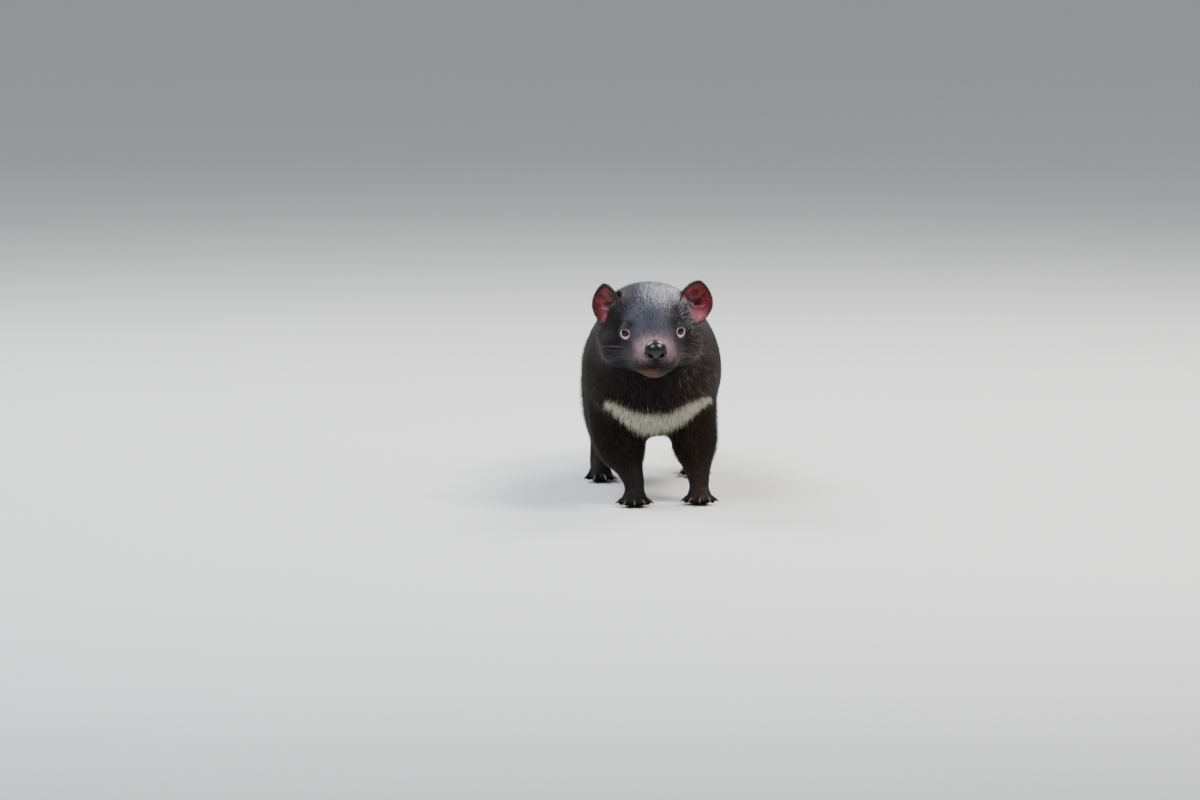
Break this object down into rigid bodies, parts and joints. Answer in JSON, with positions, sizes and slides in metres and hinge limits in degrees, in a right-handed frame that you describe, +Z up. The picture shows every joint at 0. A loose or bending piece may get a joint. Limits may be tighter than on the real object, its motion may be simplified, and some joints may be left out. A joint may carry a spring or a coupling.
{
  "type": "tasmanian devil",
  "caption": "Life-size standing animal model, short black coat, pale chest band, round cupped ears, blunt bare nose, clawed paws and thick tapering tail.",
  "frame": {"origin": "on the ground under the middle of the whole animal's box", "axes": "+Z up, the animal faces -Y, its left side is +X, the tail points to +Y"},
  "size_m": [0.179, 0.7212, 0.2812],
  "materials": {
    "fur": "short dense black coat, grizzled on the crown, cream band across the chest",
    "paw": "thin dark fur over skin, bare pads, dark horn claws",
    "ear_skin": "bare red-pink skin inside, thin dark fur outside",
    "eye": "dark glossy eye",
    "nose_skin": "bare moist black skin"
  },
  "bodies": {
    "root": {"head": "fur", "neck": "fur", "torso": "fur", "tail": "fur", "foreleg_left": "fur", "foreleg_right": "fur", "hindleg_left": "fur", "hindleg_right": "fur", "forepaw_left": "paw", "forepaw_right": "paw", "hindpaw_left": "paw", "hindpaw_right": "paw", "ear_left": "ear_skin", "ear_right": "ear_skin", "eye_left": "eye", "eye_right": "eye", "nose": "nose_skin"}
  },
  "joints": []
}
